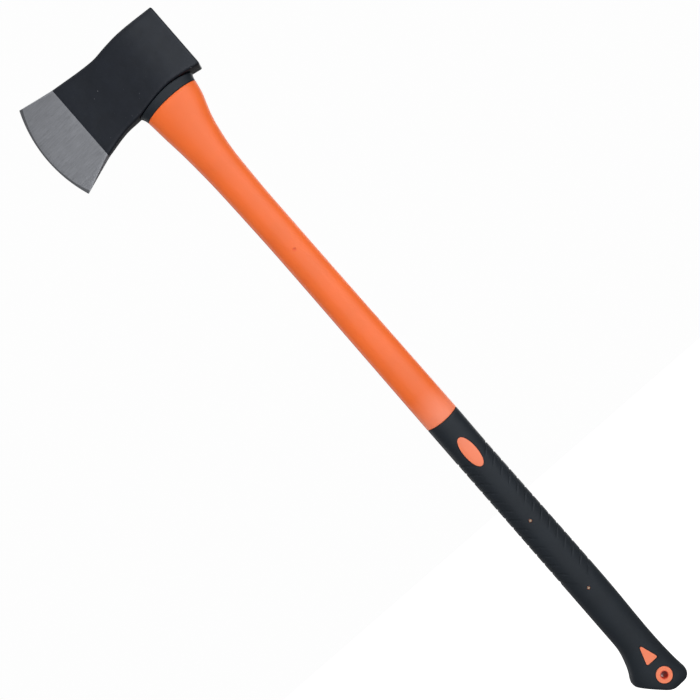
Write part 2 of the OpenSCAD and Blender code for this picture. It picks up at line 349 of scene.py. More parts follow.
def shoulder(flare, thin, wide):
    """Stations of the swelling under the head, from the shaft up to the collar."""
    return [(SHOULDER - depth, thin + (wide - thin) * share) for depth, share in reversed(flare)]


def collar_rise(wide, flare):
    return [(SHOULDER + 6, wide + flare * 0.3), (SHOULDER + 12, wide + flare),
            (SHOULDER + 20, wide + flare * 1.6)]


BIT_LINE = metres([
    (BUTT, BEAK), (BUTT + BEAK_RISE + 5, BEAK), (BUTT + BEAK_RISE + 14.5, BEAK - 4.6),
    (BUTT + BEAK_RISE + 23.5, 23.7), (BUTT + BEAK_RISE + 39, 19.8), (BUTT + BEAK_RISE + 55, 19.3),
    (GRIP, 19.3), *shoulder(FLARE_BIT, 19, 29), *collar_rise(29, 5)])
POLL_LINE = metres([
    (BUTT, TAIL), (BUTT + 10, TAIL), (BUTT + 24, 20.8), (BUTT + 50, 19.6), (BUTT + 78, 19.7),
    (BUTT + 125, 20.9), (BUTT + 190, 21), (GRIP - 43, 20.1), (GRIP, 20.4),
    *shoulder(FLARE_POLL, 19, 38.1), *collar_rise(38.1, 3)])
HALF_LINE = metres([
    (BUTT, 11.5), (BUTT + 8, 13.5), (BUTT + 60, 13.5), (BUTT + 120, 14), (GRIP - 40, 14),
    (GRIP, 13.6), (GRIP + 36, 13.1), *shoulder(FLARE_BIT, 13, 15.5), *collar_rise(15.5, 0.8)])
# Underside and top of the head, between the paint's edge and the poll.
UNDER_LINE = metres([(-83.5, -11.6), (-54, -4.7), (-32, -3.2), (14, 2.1), (53.5, -3.4)])
TOP_LINE = metres([(-83.5, 80), (-32, 74.6), (-12, 76.4), (8, 77.6), (53.5, 76)])

ARCH_X = 12 * MM
ARCH_R = 240 * MM
GRIP_BOW = 2.4 * MM
OVAL_Z = (GRIP - 42.5) * MM
OVAL_LENGTH = 39.5 * MM
OVAL_WIDTH = 16.5 * MM
RING_Z = (BUTT + 20) * MM
RING_R = 9.7 * MM
TRI_FOOT_Z = (BUTT + 38.5) * MM
TRI_HEIGHT = 25.5 * MM
TRI_WIDTH = 17 * MM
PIN_Z = ((BUTT + 236) * MM, (BUTT + 142) * MM)
SHAFT_PIN_Z = -217 * MM
SHAFT_HALF = 13 * MM
PIN_MARK_DEPTH = 2 * MM
PIN_END_R = 1.2 * MM
TONGUE_LENGTH = 56.8 * MM
TONGUE_WIDTH = 17.8 * MM


def handle_point(u, v, z, inset=0):
    """Point of the handle's skin: u and v are its place on the unit oval."""
    bit = curve(BIT_LINE, z) - inset
    poll = curve(POLL_LINE, z) - inset
    half = curve(HALF_LINE, z) - inset
    return (poll - bit) / 2 + u * (poll + bit) / 2, v * half, z


def arch(x, lift=0):
    """Height of the border between the shoulder and the collar."""
    return COLLAR * MM + lift - ARCH_R + math.sqrt(ARCH_R ** 2 - (x - ARCH_X) ** 2)


def skin_x(u, z):
    return handle_point(u, 0, z)[0]


def follow(line, shift, inset=0):
    """Ring of the handle's skin whose height follows a line over x."""
    def ring(u, v):
        z = line(skin_x(u, line(0))) + shift
        return handle_point(u, v, z, inset)
    return ring


# ---- the butt, seen from the side: a slanted heel, a flat, and round corners ----
BEAK_X = -BEAK * MM
FOOT_X = FOOT * MM
TAIL_X = TAIL * MM
TAIL_R = 9.5 * MM
NOSE_R = 8 * MM
SLANT = BEAK_RISE / (BEAK + FOOT)
BUTT_TOP = (BUTT + 62) * MM
BUTT_ROUND = 3 * MM


def corner_rise(distance, radius):
    """How far a round corner rises above its line, at a distance from its end."""
    reach = radius - min(max(distance, 0), radius)
    return radius - math.sqrt(radius ** 2 - reach ** 2)


def butt_line(x):
    """Height of the butt's end at x."""
    blur = 6 * MM
    if abs(x - FOOT_X) < blur:
        slant = SLANT * (blur - (x - FOOT_X)) ** 2 / (4 * blur)
    else:
        slant = SLANT * max(FOOT_X - x, 0)
    # The nose turns from the slant to upright, which is less than a full corner.
    fall = math.atan(SLANT)
    along = max(x - BEAK_X, 0)
    nose = 0
    if along < NOSE_R * (1 - math.sin(fall)):
        centre = NOSE_R * math.tan((math.pi / 2 - fall) / 2) + SLANT * along
        nose = centre - math.sqrt(NOSE_R ** 2 - (NOSE_R - along) ** 2)
    return BUTT_Z + slant + nose + corner_rise(TAIL_X - x, TAIL_R)


def butt_end_x(u):
    return blend(BEAK_X, TAIL_X, (u + 1) / 2)


def butt_ring(share, inset=0):
    """Ring of the butt: share 0 is level at its top, share 1 follows the start of its end."""
    def ring(u, v):
        end = butt_line(butt_end_x(u)) + BUTT_ROUND
        x, y, z = handle_point(u, v, blend(BUTT_TOP, end, share), inset)
        return x, y, z + inset * share
    return ring


def butt_cap(angle, narrow, inset=0):
    """Ring of the round edge of the butt's end, closing to a line when narrow is 0."""
    def ring(u, v):
        end = butt_line(butt_end_x(u))
        x, y, _ = handle_point(u, v, end, inset)
        drop = BUTT_ROUND * (1 - math.sin(angle))
        pull = 1 - 0.22 * (1 - math.cos(angle))
        return x, y * pull * narrow, end + drop + inset
    return ring


def butt_rings(inset=0):
    rings = [butt_cap(math.pi / 2, narrow, inset) for narrow in (0, 0.4, 0.8)]
    rings += [butt_cap(math.radians(angle), 1, inset) for angle in (90, 72, 54, 36, 18)]
    rings += [butt_ring(share, inset) for share in steps(1, 0, 14)]
    return rings


# ---- the grip's pattern: V grooves pointing at the butt, with fine ribs between them ----
FIRST_GROOVE = -669 * MM
GROOVES = 14
V_SLOPE = math.tan(math.radians(41))
BAND = 0.33


def v_drop(u, z):
    """How far a ring hangs down at u: a V over the grooves, level at the butt and the top."""
    fade = ease((z - BUTT_TOP) / (60 * MM)) * ease((GRIP_Z - z) / (42 * MM))
    away = 1 - math.sqrt(u * u + 0.01)
    return max(away, 0) * 20 * MM * V_SLOPE * fade


def grip_ring(z, depth=0, inset=0):
    """Ring of the grip's skin, sunk by a depth outside its smooth middle band."""
    def ring(u, v):
        bow = GRIP_BOW * (1 - u * u) * ease((z - (GRIP_Z - 30 * MM)) / (30 * MM))
        sink = depth * min(max((abs(u) - BAND) / (0.8 - BAND), 0), 1)
        return handle_point(u, v, z - v_drop(u, z) - bow, inset + sink)
    return ring


def grip_rings(sizes, plain=False, inset=0):
    """Rings from the butt to the grip's upper edge."""
    rings = butt_rings(inset)
    if plain:
        return rings + [grip_ring(z, 0, inset) for z in steps(BUTT_TOP + 6 * MM, GRIP_Z, 30)]
    # Depth of the pattern over one pitch: the main groove at 0, then three fine ribs.
    pattern = [(0, 1), (0.04, 0.8), (0.09, 0.35), (0.14, 0)]
    pattern += [(0.22 + 0.07 * k, 0 if k % 2 else -1) for k in range(9)]
    pattern += [(0.86, 0), (0.91, 0.35), (0.96, 0.8)]
    rings += [grip_ring(z) for z in steps(BUTT_TOP + 6 * MM, FIRST_GROOVE - 3 * MM, 12)]
    for groove in range(GROOVES):
        start = FIRST_GROOVE + groove * sizes.groove_pitch
        for part, depth in pattern[:4] if groove == GROOVES - 1 else pattern:
            deep = depth * sizes.groove_depth if depth >= 0 else sizes.rib_depth
            rings.append(grip_ring(start + part * sizes.groove_pitch, deep))
    top = FIRST_GROOVE + (GROOVES - 1) * sizes.groove_pitch + 4 * MM
    rings += [grip_ring(z) for z in steps(top, GRIP_Z - 0.6 * MM, 14)]
    rings += [grip_ring(GRIP_Z - 0.18 * MM, 0, 0.18 * MM), grip_ring(GRIP_Z, 0, 0.6 * MM)]
    return rings


# ---- outlines of the windows and islands in the grip ----
def oval_outline(length, width, centre_z, fullness=2.1, count=72):
    def power(value):
        return math.copysign(abs(value) ** (2 / fullness), value)
    turns = [math.tau * k / count for k in range(count)]
    return [(width / 2 * power(math.cos(a)), centre_z + length / 2 * power(math.sin(a)))
            for a in turns]


def rounded_outline(corners, radius, count=8):
    """Polygon of (x, z) corners, going round anticlockwise, each rounded as an arc."""
    outline = []
    for i, (x, z) in enumerate(corners):
        before, after = corners[i - 1], corners[(i + 1) % len(corners)]
        back = math.atan2(before[1] - z, before[0] - x)
        ahead = math.atan2(after[1] - z, after[0] - x)
        inner = (back - ahead) % math.tau
        middle = ahead + inner / 2
        reach = radius / math.sin(inner / 2)
        cx, cz = x + reach * math.cos(middle), z + reach * math.sin(middle)
        sweep = math.pi - inner
        for k in range(count + 1):
            a = middle + math.pi - sweep / 2 + sweep * k / count
            outline.append((cx + radius * math.cos(a), cz + radius * math.sin(a)))
    return outline


def triangle_outline(inset):
    apex = math.atan2(TRI_WIDTH / 2, TRI_HEIGHT)
    foot = (math.pi / 2 - apex) / 2
    half = TRI_WIDTH / 2 - inset / math.tan(foot)
    low, high = TRI_FOOT_Z + inset, TRI_FOOT_Z + TRI_HEIGHT - inset / math.sin(apex)
    return rounded_outline([(-half, low), (half, low), (0, high)], 1.5 * MM)


def window_outlines(inset):
    """The oval, the triangle and the ring, each moved in by inset."""
    return [oval_outline(OVAL_LENGTH - 2 * inset, OVAL_WIDTH - 2 * inset, OVAL_Z),
            triangle_outline(inset),
            oval_outline(2 * (RING_R - inset), 2 * (RING_R - inset), RING_Z, 2)]


def pin_outline(z, radius):
    return oval_outline(2 * radius, 2 * radius, z, 2, 24)


# ---- materials ----
DUST = (0.25, 0.25, 0.26, 1)
# Pale tint of the painted highlight above the grip's edge.
PAINTED_LIP_HIGHLIGHT = (1, 0.9, 0.85, 1)
# Deep red of the painted shade in the hanging hole.
PAINTED_HOLE_SHADE = (0.6, 0.04, 0.012, 1)
COOL_GLOSS = (0.88, 0.93, 1, 1)


def linear(hex_colour):
    """sRGB hex to a linear colour."""
    parts = [int(hex_colour[i:i + 2], 16) / 255 for i in (1, 3, 5)]
    return [p / 12.92 if p <= 0.04045 else ((p + 0.055) / 1.055) ** 2.4 for p in parts] + [1]


def shade(hex_colour, factor):
    """The same colour, lighter or darker."""
    return [min(part * factor, 1) for part in linear(hex_colour)[:3]] + [1]


def add(tree, kind, settings, links=()):
    """Adds a node, sets its settings and inputs, and links outputs to its inputs."""
    node = tree.nodes.new("ShaderNode" + kind)
    for name, value in settings.items():
        if isinstance(name, int) or name in node.inputs:
            node.inputs[name].default_value = value
        else:
            setattr(node, name, value)
    for name, output in dict(links).items():
        tree.links.new(output, node.inputs[name])
    return node


def new_material(name):
    """An empty material and its Object coordinates."""
    material = bpy.data.materials.new(name)
    material.use_nodes = True
    tree = material.node_tree
    tree.nodes.clear()
    place = add(tree, "TexCoord", {}).outputs["Object"]
    return material, tree, place


def complete(tree, surface):
    add(tree, "OutputMaterial", {}, {"Surface": surface.outputs["BSDF"]})


def noise(tree, place, size, detail=2, roughness=0.5):
    """Noise whose blobs are about this size in metres."""
    return add(tree, "TexNoise", {"Scale": 1 / size, "Detail": detail, "Roughness": roughness},
               {"Vector": place}).outputs["Fac"]


def between(tree, amount, low, high, start=0.3, end=0.7):
    """A number that runs from low to high as the amount runs from start to end."""
    return add(tree, "MapRange", {"From Min": start, "From Max": end, "To Min": low,
                                  "To Max": high}, {"Value": amount}).outputs["Result"]


def mix_colours(tree, amount, first, second):
    """A colour between two, each given as a colour or as the output of a node."""
    settings, links = {"data_type": "RGBA"}, {0: amount}
    for socket, colour in ((6, first), (7, second)):
        if isinstance(colour, bpy.types.NodeSocket):
            links[socket] = colour
        else:
            settings[socket] = colour
    return add(tree, "Mix", settings, links).outputs[2]


def bump(tree, height, distance, strength=1, under=None):
    """Bump of a real depth in metres."""
    links = {"Height": height}
    if under is not None:
        links["Normal"] = under
    return add(tree, "Bump", {"Distance": distance, "Strength": strength},
               links).outputs["Normal"]


def enamel_on_steel(colours):
    """Baked enamel on forged steel: near black, satin, with a faint orange peel, and the
    forging's shallow dents under it."""
    material, tree, place = new_material("baked enamel")
    peel = noise(tree, place, 1.6 * MM, 2)
    forging = noise(tree, place, 16 * MM, 2)
    speck = noise(tree, place, 1.1 * MM, 3, 0.7)
    dust = noise(tree, place, 2.2 * MM, 1)
    tone = between(tree, forging, 0, 1)
    colour = mix_colours(tree, tone, shade(colours.paint, 0.85), shade(colours.paint, 1.2))
    # Grains of grinding dust, far apart.
    colour = mix_colours(tree, between(tree, dust, 0, 0.5, 0.77, 0.84), colour, DUST)
    normal = bump(tree, peel, 0.04 * MM, 0.7, bump(tree, forging, 0.5 * MM, 0.7))
    surface = add(tree, "BsdfPrincipled", {
        "IOR": 1.5, "Specular IOR Level": 0.27, "Specular Tint": COOL_GLOSS,
    }, {"Base Color": colour, "Roughness": between(tree, speck, 0.34, 0.48),
        "Normal": normal})
    complete(tree, surface)
    return material


def ground_steel(colours):
    """Carbon steel ground on a belt: grey, with fine scratches running across the bevel."""
    material, tree, place = new_material("belt ground steel")
    # Belt scratches are about 0.2 mm apart: drawn 0.9 mm apart, so that they show.
    across = add(tree, "Mapping", {"Scale": (1 / (14 * MM), 1 / (3 * MM), 1 / (0.9 * MM))},
                 {"Vector": place}).outputs["Vector"]
    scratches = add(tree, "TexNoise", {"Scale": 1, "Detail": 4, "Roughness": 0.65},
                    {"Vector": across}).outputs["Fac"]
    wide = add(tree, "Mapping", {"Scale": (1 / (40 * MM), 1 / (12 * MM), 1 / (9 * MM))},
               {"Vector": place}).outputs["Vector"]
    bands = add(tree, "TexNoise", {"Scale": 1, "Detail": 2}, {"Vector": wide}).outputs["Fac"]
    fine = mix_colours(tree, between(tree, scratches, 0, 1), shade(colours.steel, 0.88),
                       shade(colours.steel, 1.12))
    tone = mix_colours(tree, between(tree, bands, 0, 0.12), fine, shade(colours.steel, 0.6))
    surface = add(tree, "BsdfPrincipled", {
        "Metallic": 1,
    }, {"Base Color": tone, "Roughness": between(tree, scratches, 0.34, 0.5),
        "Normal": bump(tree, scratches, 0.02 * MM, 0.6)})
    complete(tree, surface)
    return material


def honed_steel(colours):
    """The same steel on the honed edge, its base colour darkened as painted shade for the edge's
    darker reflection, with fine lines along it.
    """
    material, tree, place = new_material("honed steel")
    lines = noise(tree, place, 0.8 * MM, 3, 0.6)
    # Painted shade: the base colour is the ground steel's at half brightness.
    surface = add(tree, "BsdfPrincipled", {
        "Metallic": 1, "Base Color": shade(colours.steel, 0.5),
    }, {"Roughness": between(tree, lines, 0.3, 0.42)})
    complete(tree, surface)
    return material


def moulded_polypropylene(colours):
    """Polypropylene from a fine-grained mould: satin, slightly waxy, with a soft grain."""
    material, tree, place = new_material("moulded polypropylene")
    cloud = noise(tree, place, 40 * MM, 2)
    grain = noise(tree, place, 0.7 * MM, 3, 0.6)
    colour = mix_colours(tree, between(tree, cloud, 0, 1), shade(colours.jacket, 0.96),
                         shade(colours.jacket, 1.04))
    # Painted highlight: the last stretch above the grip's edge is mixed towards a pale tint,
    # standing in for the light it catches.
    height = add(tree, "SeparateXYZ", {}, {"Vector": place}).outputs["Z"]
    colour = mix_colours(tree, between(tree, height, 0.09, 0, GRIP_Z + 6 * MM, GRIP_Z + 36 * MM),
                         colour, PAINTED_LIP_HIGHLIGHT)
    # Painted shade: the hanging hole's lip and bore are darkened to a deep red, standing in for
    # the shade inside the hole.
    flat = add(tree, "VectorMath", {"operation": "MULTIPLY", 1: (1, 0, 1)}, {0: place})
    reach = add(tree, "VectorMath", {"operation": "DISTANCE", 1: (0, 0, RING_Z)},
                {0: flat.outputs[0]}).outputs["Value"]
    colour = mix_colours(tree, between(tree, reach, 0.85, 0, 4.6 * MM, 5.1 * MM), colour, PAINTED_HOLE_SHADE)
    surface = add(tree, "BsdfPrincipled", {
        "IOR": 1.49, "Subsurface Weight": 0.08, "Subsurface Scale": 2 * MM,
        "Subsurface Radius": (1.0, 0.4, 0.2),
    }, {"Base Color": colour, "Roughness": between(tree, grain, 0.4, 0.5),
        "Normal": bump(tree, grain, 0.02 * MM, 0.6)})
    complete(tree, surface)
    return material


def moulded_rubber(colours):
    """Thermoplastic rubber: near black with a cool sheen, matt, with a fine stipple."""
    made = bpy.data.materials.get("thermoplastic rubber")
    if made:
        return made
    material, tree, place = new_material("thermoplastic rubber")
    stipple = noise(tree, place, 0.6 * MM, 3, 0.6)
    cloud = noise(tree, place, 25 * MM, 2)
    colour = mix_colours(tree, between(tree, cloud, 0, 1), shade(colours.rubber, 0.9),
                         shade(colours.rubber, 1.15))
    surface = add(tree, "BsdfPrincipled", {
        "IOR": 1.5, "Specular IOR Level": 0.3, "Specular Tint": COOL_GLOSS,
    }, {"Base Color": colour, "Roughness": between(tree, stipple, 0.48, 0.6),
        "Normal": bump(tree, stipple, 0.05 * MM, 0.7)})
    complete(tree, surface)
    return material


def epoxy_resin(colours):
    """Epoxy that filled the eye and set: amber brown and glossy, with a few bubbles."""
    material, tree, place = new_material("epoxy resin")
    bubbles = add(tree, "TexVoronoi", {"Scale": 1 / (3 * MM)}, {"Vector": place})
    pits = between(tree, bubbles.outputs["Distance"], 0, 1, 0.05, 0.2)
    cloud = noise(tree, place, 6 * MM, 3)
    colour = mix_colours(tree, between(tree, cloud, 0, 1), shade(colours.resin, 0.7),
                         shade(colours.resin, 1.3))
    surface = add(tree, "BsdfPrincipled", {"IOR": 1.55, "Roughness": 0.22},
                  {"Base Color": colour, "Normal": bump(tree, pits, 0.15 * MM)})
    complete(tree, surface)
    return material


def glass_fibre(colours):
    """Pultruded glass fibre, sawn across: pale, with the dots of the cut rovings."""
    made = bpy.data.materials.get("pultruded glass fibre")
    if made:
        return made
    material, tree, place = new_material("pultruded glass fibre")
    ends = add(tree, "TexVoronoi", {"Scale": 1 / (0.8 * MM)}, {"Vector": place})
    dots = between(tree, ends.outputs["Distance"], 0, 1, 0.1, 0.5)
    colour = mix_colours(tree, dots, shade(colours.fibre, 1.08), shade(colours.fibre, 0.72))
    surface = add(tree, "BsdfPrincipled", {"IOR": 1.52},
                  {"Base Color": colour, "Roughness": between(tree, dots, 0.5, 0.7, 0, 1),
                   "Normal": bump(tree, dots, 0.04 * MM)})
    complete(tree, surface)
    return material


def studio_floor():
    """Matt pale paper, lit from behind so that it stays pale under soft light."""
    material, tree, place = new_material("studio paper")
    fleck = noise(tree, place, 300 * MM, 2)
    colour = mix_colours(tree, fleck, (0.93, 0.93, 0.93, 1), (0.96, 0.96, 0.96, 1))
    complete(tree, add(tree, "BsdfPrincipled", {
        "Roughness": 0.9, "Specular IOR Level": 0.1, "Emission Color": (1, 1, 1, 1),
        "Emission Strength": 0.7}, {"Base Color": colour}))
    return material


# ---- head ----
HONED_HALF = 0.45 * MM
EDGE_HALF = 0.06 * MM


def edge_x(z):
    """Place of the cutting edge at a height."""
    radius = bpy.context.scene.axe_head.edge_radius
    return EDGE_X + radius - math.sqrt(radius ** 2 - (z - EDGE_MIDDLE) ** 2)


def honed_x(z):
    """Place where the honing starts: it is wider towards the toe and the heel."""
    from_middle = (z - EDGE_MIDDLE) / (TOE_Z - EDGE_MIDDLE)
    return edge_x(z) + bpy.context.scene.axe_head.honed_length * (1 + 1.3 * from_middle ** 2)


class OBJECT_OT_axe_head(bpy.types.Operator):
    """Forge the head: poll, cheeks and eye in enamel, and the ground bit"""

    bl_idname = "object.axe_head_add"
    bl_label = "Axe Head"

    def execute(self, context):
        sizes = context.scene.axe_head
        colours = context.scene.axe_colours
        bevel_x = EDGE_X + sizes.bevel_length
        radius = sizes.corner
        half_line = [(bevel_x, sizes.bevel_half),
                     (-54 * MM, blend(sizes.bevel_half, sizes.cheek_half, 0.24)),
                     (-32 * MM, blend(sizes.bevel_half, sizes.cheek_half, 0.5)),
                     (14 * MM, sizes.cheek_half), (POLL_X, sizes.poll_half)]

        # A rounded rectangle, u up the head and v across it, with rows up its long sides.
        face = start_plane("head")
        edit(face)
        bpy.ops.mesh.select_all(action="SELECT")
        bpy.ops.mesh.bevel(offset=0.1, offset_type="OFFSET", affect="VERTICES", segments=4)
        bpy.ops.object.mode_set(mode="OBJECT")
        mesh = edit(face, "EDGE")
        pick(face, mesh, [e for e in mesh.edges
                          if abs(e.verts[0].co.x - e.verts[1].co.x) > 1])
        bpy.ops.mesh.subdivide(number_cuts=27)
        bpy.ops.object.mode_set(mode="OBJECT")

        def corner(value, half, round_by):
            """From the plane's -1 to 1 to a length, keeping its last tenth as the rounding."""
            size, inner = abs(value), half - round_by
            length = size / 0.9 * inner if size < 0.9 else inner + (size - 0.9) * 10 * round_by
            return math.copysign(length, value)

        def section(x, low, high, half, inset=0):
            def ring(u, v):
                tall = (high - low) / 2 - inset
                across = half - inset
                return (x, corner(v, across, min(radius, across / 2)),
                        (high + low) / 2 + corner(u, tall, radius))
            return ring

        def cheek_ring(x, inset=0):
            return section(x, curve(UNDER_LINE, x), curve(TOP_LINE, x), curve(half_line, x),
                           inset)

        def bevel_ring(share, half, end=honed_x):
            """Ring of the ground bit, part of the way from the paint's edge to its end line."""
            paint = section(bevel_x, curve(UNDER_LINE, bevel_x), curve(TOP_LINE, bevel_x), half)

            def ring(u, v):
                x, y, z = paint(u, v)
                middle, tall = (TOE_Z + HEEL_Z) / 2, (TOE_Z - HEEL_Z) / 2
                end_z = middle + corner(u, tall, 1.2 * MM)
                x = blend(x, end(end_z), share)
                return x, y, blend(z, end_z, (x - bevel_x) / (edge_x(end_z) - bevel_x))
            return ring

        poll_round = 1.8 * MM
        rings = [cheek_ring(POLL_X - poll_round * (1 - math.sin(a)),
                            poll_round * (1 - math.cos(a)))
                 for a in steps(math.pi / 2, 0, 4)]
        rings += [cheek_ring(x) for x in steps(POLL_X - 4 * MM, bevel_x, 26)]
        rings += [bevel_ring(share, blend(sizes.bevel_half, HONED_HALF, share))
                  for share in steps(0, 1, 10)[1:]]
        rings += [bevel_ring(1, EDGE_HALF, edge_x)]
        head = loft(face, rings)

        eye = loft(oval_face("eye", 64, 2.1), [
            lambda u, v, z=z: (EYE_X + u * sizes.eye_length / 2, v * sizes.eye_width / 2, z)
            for z in (-50 * MM, 120 * MM)])
        cut(head, eye)
        bevel_where(head, lambda e: turn_of(e) > 50 and all(
            abs(v.co.y) < sizes.eye_width / 2 + 0.1 * MM
            and abs(v.co.x - EYE_X) < sizes.eye_length / 2 + 0.1 * MM for v in e.verts),
            0.6 * MM, 2)
        finish_piece(head, "head", "axe_head",
                     [enamel_on_steel(colours), ground_steel(colours), honed_steel(colours)])
        for polygon in head.data.polygons:
            x, _, z = polygon.center
            polygon.material_index = 0 if x > bevel_x else 1 if x > honed_x(z) else 2
        return {"FINISHED"}


# ---- collar ----
class OBJECT_OT_axe_collar(bpy.types.Operator):
    """Mould the rubber collar between the shoulder and the head"""

    bl_idname = "object.axe_collar_add"
    bl_label = "Collar"

    def execute(self, context):
        colours = context.scene.axe_colours
        gap = 0.5 * MM

        def ring(share, inset, shrink=1):
            def place(u, v):
                low = arch(skin_x(u, COLLAR * MM)) + 0.1 * MM
                high = curve(UNDER_LINE, skin_x(u, 0)) - gap
                z = blend(low, high, share)
                x, y, _ = handle_point(u, v, z, inset)
                return x * shrink, y * shrink, z
            return place

        rounding = 0.8 * MM
        rings = [ring(0, 0, 0.5), ring(0, rounding)]
        rings += [ring(0.08 * (1 - math.cos(a)), rounding * (1 - math.sin(a)))
                  for a in (math.pi / 6, math.pi / 3, math.pi / 2)]
        rings += [ring(share, 0) for share in steps(0.15, 0.88, 6)]
        rings += [ring(1 - 0.1 * (1 - math.sin(a)), rounding * (1 - math.cos(a)))
                  for a in (math.pi / 6, math.pi / 3, math.pi / 2)]
        rings += [ring(1, rounding, 0.5)]
        collar = loft(oval_face("collar", 96, 2.4), rings)
        finish_piece(collar, "collar", "shoulder_collar",
                     [moulded_rubber(colours)])
        return {"FINISHED"}


# ---- jacket ----
class OBJECT_OT_axe_jacket(bpy.types.Operator):
    """Mould the orange jacket, with its tongue in the eye and its islands in the grip"""

    bl_idname = "object.axe_jacket_add"
    bl_label = "Jacket"

    def execute(self, context):
        sizes = context.scene.axe_handle
        colours = context.scene.axe_colours
        wall = sizes.sleeve_wall
        under = butt_rings(wall)
        under += [grip_ring(z, 0, wall)
                  for z in steps(BUTT_TOP + 6 * MM, GRIP_Z - 0.5 * MM, 30)]

        def lip(shift, inset):
            """Ring at the jacket's lower lip, which bows over the grip's edge."""
            def place(u, v):
                bow = GRIP_BOW * (1 - u * u)
                return handle_point(u, v, GRIP_Z - bow + shift, inset)
            return place

        def shaft(z):
            def place(u, v):
                bow = GRIP_BOW * (1 - u * u) * (1 - ease((z - GRIP_Z) / (30 * MM)))
                rise = arch(skin_x(u, COLLAR * MM)) - COLLAR * MM
                lift = rise * ease((z - SHOULDER * MM) / (30 * MM) + 1)
                return handle_point(u, v, z - bow + lift)
            return place

        rounding = 1.1 * MM
        rings = under + [lip(0.1 * MM, wall)]
        rings += [lip(0.1 * MM + rounding * (1 - math.cos(a)), rounding * (1 - math.sin(a)))
                  for a in steps(0, math.pi / 2, 5)]
        rings += [shaft(z) for z in steps(GRIP_Z + 3 * MM, -60 * MM, 60)]
        rings += [shaft(z) for z in steps(-57 * MM, (COLLAR - 0.9) * MM, 20)]
        rings += [follow(arch, -0.3 * MM, 0.25 * MM), follow(arch, 0, 0.8 * MM)]

        def tongue(z):
            def place(u, v):
                return EYE_X + u * TONGUE_LENGTH / 2, v * TONGUE_WIDTH / 2, z
            return place

        rings += [tongue(z) for z in (-2 * MM, EYE_TOP - 0.4 * MM)]
        rings += [lambda u, v: (EYE_X + u * (TONGUE_LENGTH / 2 - 0.4 * MM),
                                v * (TONGUE_WIDTH / 2 - 0.4 * MM), EYE_TOP)]
        jacket = loft(oval_face("jacket", 96, 2.4), rings)

        # Islands stand in the grip's windows, a little below its skin, with a soft rim.
        skin = loft(oval_face("skin", 96, 2.4), grip_rings(sizes, True, 0.2 * MM))
        outlines = window_outlines(sizes.window_gap)
        outlines += [pin_outline(z, PIN_END_R) for z in PIN_Z]
        islands = join([prism_across("island", outline, 30 * MM) for outline in outlines])
        cut(islands, skin, "INTERSECT")
        bevel_where(islands, lambda e: turn_of(e) > 60, 0.8 * MM, 4)
        cut(jacket, islands, "UNION")
        hole = prism_across("hole", oval_outline(sizes.hang_width, sizes.hang_width, RING_Z,
                                                 2, 48), THROUGH)
        cut(jacket, hole)
        bevel_where(jacket, lambda e: turn_of(e) > 50 and all(
            abs(math.hypot(v.co.x, v.co.z - RING_Z) - sizes.hang_width / 2) < 0.1 * MM
            for v in e.verts), 0.9 * MM, 3)
        for side in (-1, 1):
            pin = prism_across("pin", pin_outline(SHAFT_PIN_Z, sizes.pin_width / 2),
                               PIN_MARK_DEPTH)
            for vertex in pin.data.vertices:
                vertex.co.y += side * SHAFT_HALF
            cut(jacket, pin)
        finish_piece(jacket, "jacket", "handle_jacket",
                     [moulded_polypropylene(colours), glass_fibre(colours)])
        for polygon in jacket.data.polygons:
            x, y, z = polygon.center
            at_pin = any(math.hypot(x, z - pin_z) < 2 * PIN_END_R for pin_z in PIN_Z)
            outside = abs(y) > SHAFT_HALF - MM
            polygon.material_index = 1 if at_pin and outside else 0
        return {"FINISHED"}


# ---- grip ----
class OBJECT_OT_axe_grip(bpy.types.Operator):
    """Mould the rubber grip with its V grooves, windows and pin holes"""

    bl_idname = "object.axe_grip_add"
    bl_label = "Grip"

    def execute(self, context):
        sizes = context.scene.axe_handle
        colours = context.scene.axe_colours
        grip = loft(oval_face("grip", 96, 2.4), grip_rings(sizes))
        cavity = butt_rings(sizes.sleeve_wall)
        cavity += [grip_ring(z, 0, sizes.sleeve_wall)
                   for z in steps(BUTT_TOP + 6 * MM, GRIP_Z - 2 * MM, 30)]
        cavity += [lambda u, v: handle_point(u, v, GRIP_Z + 4 * MM, sizes.sleeve_wall)]
        cut(grip, loft(oval_face("cavity", 64, 2.4), cavity))
        # A narrow groove round each window, and the window itself, tight round its island.
        grooves = join([prism_across("groove", outline, THROUGH)
                        for outline in window_outlines(0)])
        cut(grooves, loft(oval_face("floor", 96, 2.4), grip_rings(sizes, True, 1.6 * MM)))
        cut(grip, grooves)
        for outline in window_outlines(sizes.window_gap - 0.02 * MM):
            cut(grip, prism_across("window", outline, THROUGH))
        for z in PIN_Z:
            cut(grip, prism_across("pin", pin_outline(z, sizes.pin_width / 2), THROUGH))
        finish_piece(grip, "grip", "grip_sleeve", [moulded_rubber(colours)])
        return {"FINISHED"}


# ---- top of the eye ----
class OBJECT_OT_axe_eye(bpy.types.Operator):
    """Give the resin in the eye and the core's sawn end their finishes"""

    bl_idname = "object.axe_eye_add"
    bl_label = "Resin and Core"

    def execute(self, context):
        colours = context.scene.axe_colours
        resin, fibre = epoxy_resin(colours), glass_fibre(colours)
        for name, material in (("eye_bond", resin), ("handle_core", fibre)):
            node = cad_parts[name]
            node.data.materials.clear()
            node.data.materials.append(material)
        return {"FINISHED"}


# ---- stage ----
# The axe lies slanting across the view: the camera looks along +Y and is rolled.
CAMERA_PLACE = (-25.5 * MM, -1.6, -335.8 * MM)
CAMERA_ROLL = math.radians(41)
CAMERA_LENS = 77.2

